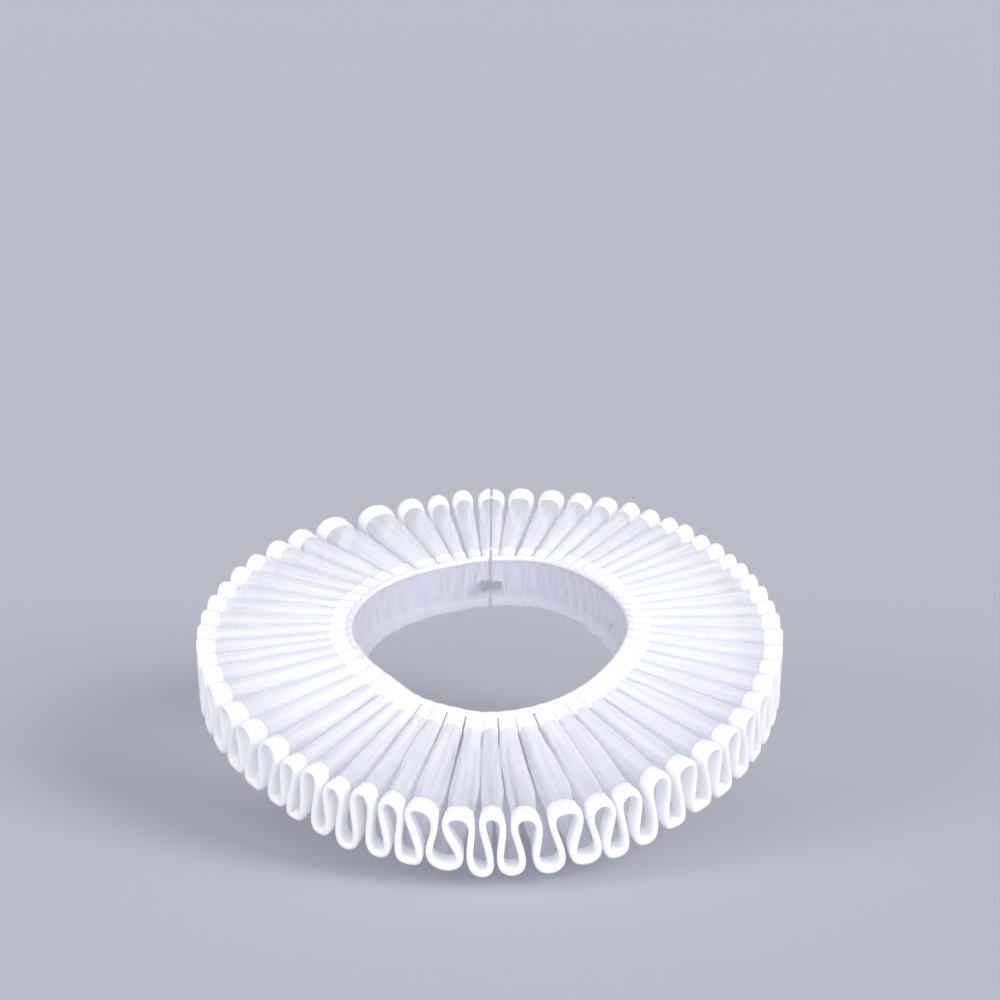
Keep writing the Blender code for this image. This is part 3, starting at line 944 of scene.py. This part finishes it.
def steel_material(colours):
    """Nickel-plated steel wire, drawn and bent: bright, a little brushed by wear."""
    material, tree, shader = new_material("nickel_plated_steel", colours.steel, {"Metallic": 1.0})
    place = add_node(tree, "ShaderNodeTexCoord")["Object"]
    drawn = add_node(
        tree, "ShaderNodeTexNoise", {"Vector": place, "Scale": 1500.0, "Detail": 4.0}
    )[0]
    rough = add_node(
        tree, "ShaderNodeMapRange",
        {"Value": drawn, "From Min": 0.3, "From Max": 0.7, "To Min": 0.3, "To Max": 0.48},
    )[0]
    tree.links.new(rough, shader.inputs["Roughness"])
    return material


def neckband_grid(sizes):
    """The level neckband's points, and where each is on the flat band, row by row downwards."""
    section = list(BAND_EDGE)
    for depth in np.linspace(0.0, 1.0, BAND_ROWS + 1)[1:]:
        section.append(BandRow(0.0, -sizes.band_drop - sizes.band_height * depth, depth))
    out, up, lean = np.array(section).T
    down_band = np.concatenate([[0.0], np.cumsum(np.hypot(np.diff(out), np.diff(up)))])
    bearing, down_band = np.meshgrid(np.linspace(90.0, 450.0, BAND_COLUMNS + 1), down_band)
    out, up, share = (values[:, None] + 0.0 * bearing for values in (out, up, lean))
    counts = np.interp(
        bearing, station_curve(np.arange(LOOPS + 1), "bearing"), np.arange(LOOPS + 1)
    )
    scallop = BAND_SCALLOP * (np.cos(TURN * counts) - 1.0) / 2
    scallop = scallop * np.minimum(out / BAND_SCALLOP_OUT, 1.0)
    lift = station_curve(counts, "lift") * sizes.lift_at_neck
    height = crown_height(sizes) + up + scallop + lift
    along = np.radians(bearing - 90.0) * sizes.neck_radius
    radius = sizes.neck_radius - BAND_SEAT + out - sizes.band_lean * share - sizes.band_wall / 2
    deep = smooth_step(share * BAND_CREASE_GROWTH)
    for crease in BAND_CREASES:
        line = math.radians(crease.bearing - 90.0) * sizes.neck_radius
        across = (along - line - crease.slant * share) / crease.width
        radius = radius - crease.depth * np.exp(-across ** 2) * deep
    half_gap = sizes.end_gap / 2 / radius
    angle = math.pi / 2 + half_gap + np.radians(bearing - 90.0) * (1 - half_gap / math.pi)
    level = np.stack([radius * np.cos(angle), radius * np.sin(angle), height], axis=-1)
    return level, np.stack([along, down_band], axis=-1)


class RUFF_OT_organza(bpy.types.Operator):
    """Fold the organza strip into its loops, in the four lengths it is joined from"""

    bl_idname = "ruff.organza"
    bl_label = "Organza ruffle"

    def execute(self, context):
        sizes, colours = context.scene.ruff_sizes, context.scene.ruff_colours
        heading_edge = sizes.neck_radius + sizes.heading_width
        ribbon_edge = sizes.collar_radius - sizes.edge_width
        material = organza_material(
            "sheer_organza", colours.organza, sizes, ORGANZA_WEAVE,
            Gathered(heading_edge, ribbon_edge, GATHERED_COVER),
        )
        inner, outer = heading_edge - sizes.lap, ribbon_edge + sizes.lap
        radii = np.linspace(inner, outer, ORGANZA_ROWS + 1)
        for name, start, end in RUFFLE_LENGTHS:
            piece = flat_strip(
                name + "_cloth", start, end, radii, ORGANZA_COLUMNS, sizes,
                sizes.strip_length, creased=True,
            )
            fold_strip(piece, sizes, material)
            make_plain(piece)
            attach(piece, "root")
            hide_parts(name)
        return {"FINISHED"}


class RUFF_OT_edge_ribbon(bpy.types.Operator):
    """Bind the ruffle's outer edge with satin ribbon"""

    bl_idname = "ruff.edge_ribbon"
    bl_label = "Edge ribbon"

    def execute(self, context):
        sizes, colours = context.scene.ruff_sizes, context.scene.ruff_colours
        material = satin_material("folded_satin_ribbon", colours.edge, sizes, EDGE_GLOW)
        piece = fold_ribbon(
            "edge_ribbon_satin", EDGE_SECTION, sizes.collar_radius - sizes.edge_width,
            sizes.edge_width, sizes.strip_length, sizes.ribbon_wall, sizes, material,
        )
        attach(piece, "root")
        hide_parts("edge_ribbon")
        return {"FINISHED"}


class RUFF_OT_heading_ribbon(bpy.types.Operator):
    """Pleat the heading ribbon round the neck"""

    bl_idname = "ruff.heading_ribbon"
    bl_label = "Heading ribbon"

    def execute(self, context):
        sizes, colours = context.scene.ruff_sizes, context.scene.ruff_colours
        # The heading's colour holds painted shade: a darker white than the edge ribbon's satin,
        # which is the same cloth
        material = satin_material("pleated_satin_ribbon", colours.heading, sizes, HEADING_GLOW)
        piece = fold_ribbon(
            "heading_ribbon_satin", HEADING_SECTION, sizes.neck_radius,
            sizes.heading_width, sizes.heading_length, sizes.heading_wall, sizes, material,
        )
        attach(piece, "root")
        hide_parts("heading_ribbon")
        return {"FINISHED"}


class RUFF_OT_neckband(bpy.types.Operator):
    """Shape the sheer neckband inside the pleats, with its soft creases"""

    bl_idname = "ruff.neckband"
    bl_label = "Neckband"

    def execute(self, context):
        sizes, colours = context.scene.ruff_sizes, context.scene.ruff_colours
        # The neckband's colour holds painted shade: a greyer lavender than the ruffle's organza,
        # which is the same cloth
        material = organza_material(
            "sheer_neckband", colours.band, sizes, BAND_WEAVE, seam=sizes.band_seam
        )
        level, flat = neckband_grid(sizes)
        mesh = cloth_mesh("neckband_cloth", level, flat, turned=True)
        mesh.transform(
            Matrix.Rotation(sizes.tilt, 4, "X")
            @ Matrix.Translation((0.0, 0.0, level_drop(sizes)))
        )
        mesh.materials.append(material)
        piece = add_object("neckband_cloth", mesh)
        add_wall(piece, sizes.band_wall)
        make_plain(piece)
        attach(piece, "root")
        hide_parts("neckband")
        return {"FINISHED"}


class RUFF_OT_stitching(bpy.types.Operator):
    """Sew the ribbons on with running stitches"""

    bl_idname = "ruff.stitching"
    bl_label = "Stitching"

    def execute(self, context):
        sizes, colours = context.scene.ruff_sizes, context.scene.ruff_colours
        # Spun polyester sewing thread: matt, with a twist too fine to show
        material = matt_material(
            "white_sewing_thread", colours.thread,
            roughness=0.6, scale=4000.0, strength=0.3, distance=0.00005,
        )
        ribbon_edge = sizes.collar_radius - sizes.edge_width
        heading_edge = sizes.neck_radius + sizes.heading_width
        edge_share = np.interp(STITCH_INSET / sizes.edge_width, *np.array(EDGE_SECTION).T)
        lines = (
            ("edge_stitching", ribbon_edge + STITCH_INSET, edge_share * sizes.ribbon_wall,
             "edge_satin"),
            ("heading_stitching", heading_edge - STITCH_INSET, sizes.heading_wall,
             "heading_satin"),
        )
        for name, radius, wall, slot in lines:
            piece = flat_strip(
                name, 0, LOOPS, (radius, radius + STITCH_ROW), RIBBON_COLUMNS, sizes,
                sizes.strip_length,
            )
            sewn = piece.data.attributes.new("sewn", "BOOLEAN", "POINT")
            count = len(piece.data.vertices)
            sewn.data.foreach_set("value", np.arange(count) < count // 2)
            fold_strip(piece, sizes, material)
            give_tree(piece, bpy.data.node_groups.get("running_stitch") or stitch_tree(), {
                "Material": material,
                "Stitch pitch": sizes.stitch_pitch,
                "Stitch length": sizes.stitch_length,
                "Thread radius": sizes.thread_radius,
                "Stand off": float(wall) / 2,
            })
            make_plain(piece)
            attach(piece, "root")
        return {"FINISHED"}


class RUFF_OT_closure(bpy.types.Operator):
    """Plate the hook and bar that close the neckband"""

    bl_idname = "ruff.closure"
    bl_label = "Hook and bar"

    def execute(self, context):
        material = steel_material(context.scene.ruff_colours)
        for name in ("neck_hook", "neck_bar"):
            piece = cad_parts[name]
            piece.data.materials.clear()
            piece.data.materials.append(material)
        return {"FINISHED"}


class RUFF_OT_stage(bpy.types.Operator):
    """Set the pale floor, the soft lights and the camera"""

    bl_idname = "ruff.stage"
    bl_label = "Stage"

    def execute(self, context):
        sizes, colours = context.scene.ruff_sizes, context.scene.ruff_colours
        ground = CAD_BOX[0].z - FLOOR_CLEARANCE
        corners = ((-1, -1), (1, -1), (1, 1), (-1, 1))
        mesh = bpy.data.meshes.new("floor")
        mesh.from_pydata(
            [(FLOOR_HALF * x, FLOOR_HALF * y, ground) for x, y in corners], [], [(0, 1, 2, 3)]
        )
        # Matt painted board: plain and pale
        mesh.materials.append(matt_material(
            "pale_painted_board", colours.floor,
            roughness=0.8, scale=400.0, strength=0.05, distance=0.0002,
        ))
        floor = add_object("floor", mesh)
        for light in LIGHTS:
            lamp = bpy.data.lights.new(light.name, "SUN")
            lamp.angle = math.radians(light.spread)
            lamp.energy = light.strength
            lamp.color = light.tint
            thing = add_object(light.name, lamp)
            thing.location = light.place
            thing.rotation_euler = (-Vector(light.place)).to_track_quat("-Z", "Y").to_euler()
        world = bpy.data.worlds.new("studio")
        world.use_nodes = True
        sky = world.node_tree.nodes["Background"]
        sky.inputs["Color"].default_value = (*SKY_COLOUR, 1.0)
        sky.inputs["Strength"].default_value = SKY_STRENGTH
        context.scene.world = world
        centre = Matrix.Rotation(sizes.tilt, 4, "X") @ Vector((0.0, 0.0, level_drop(sizes)))
        forward = Vector((0.0, math.cos(LOOK_DOWN), -math.sin(LOOK_DOWN)))
        upward = Vector((0.0, math.sin(LOOK_DOWN), math.cos(LOOK_DOWN)))
        lens = bpy.data.cameras.new("camera")
        lens.lens = LENS_MM
        lens.sensor_width = SENSOR_MM
        camera = add_object("camera", lens)
        camera.location = (
            centre - forward * CAMERA_DISTANCE + Vector((CAMERA_RIGHT, 0, 0))
            + upward * CAMERA_UP
        )
        camera.rotation_euler = forward.to_track_quat("-Z", "Y").to_euler()
        context.scene.camera = camera
        context.scene.view_settings.view_transform = "Standard"
        context.scene.cycles.transparent_max_bounces = SHEER_BOUNCES
        context.scene.cycles.max_bounces = MOST_BOUNCES
        context.scene.cycles.diffuse_bounces = DIFFUSE_BOUNCES
        return {"FINISHED"}


class RUFF_PT_panel(bpy.types.Panel):
    """The collar's sizes, colours and pieces"""

    bl_idname = "RUFF_PT_panel"
    bl_label = "Ruff Collar"
    bl_space_type = "VIEW_3D"
    bl_region_type = "UI"
    bl_category = "Ruff"

    def draw(self, context):
        for group in (context.scene.ruff_sizes, context.scene.ruff_colours):
            column = self.layout.column()
            for name in group.bl_rna.properties.keys():
                if name not in ("rna_type", "name"):
                    column.prop(group, name)
        for operator in OPERATORS:
            self.layout.operator(operator.bl_idname)


OPERATORS = (
    RUFF_OT_organza,
    RUFF_OT_edge_ribbon,
    RUFF_OT_heading_ribbon,
    RUFF_OT_neckband,
    RUFF_OT_stitching,
    RUFF_OT_closure,
    RUFF_OT_stage,
)
CLASSES = (RuffSizes, RuffColours, *OPERATORS, RUFF_PT_panel)


def register():
    for kind in CLASSES:
        bpy.utils.register_class(kind)
    bpy.types.Scene.ruff_sizes = bpy.props.PointerProperty(type=RuffSizes)
    bpy.types.Scene.ruff_colours = bpy.props.PointerProperty(type=RuffColours)


def unregister():
    del bpy.types.Scene.ruff_colours
    del bpy.types.Scene.ruff_sizes
    for kind in reversed(CLASSES):
        bpy.utils.unregister_class(kind)


def main():
    """Builds the pieces in order."""
    register()
    bpy.ops.ruff.organza()
    bpy.ops.ruff.edge_ribbon()
    bpy.ops.ruff.heading_ribbon()
    bpy.ops.ruff.neckband()
    bpy.ops.ruff.stitching()
    bpy.ops.ruff.closure()
    bpy.ops.ruff.stage()


if __name__ == "__main__":
    main()
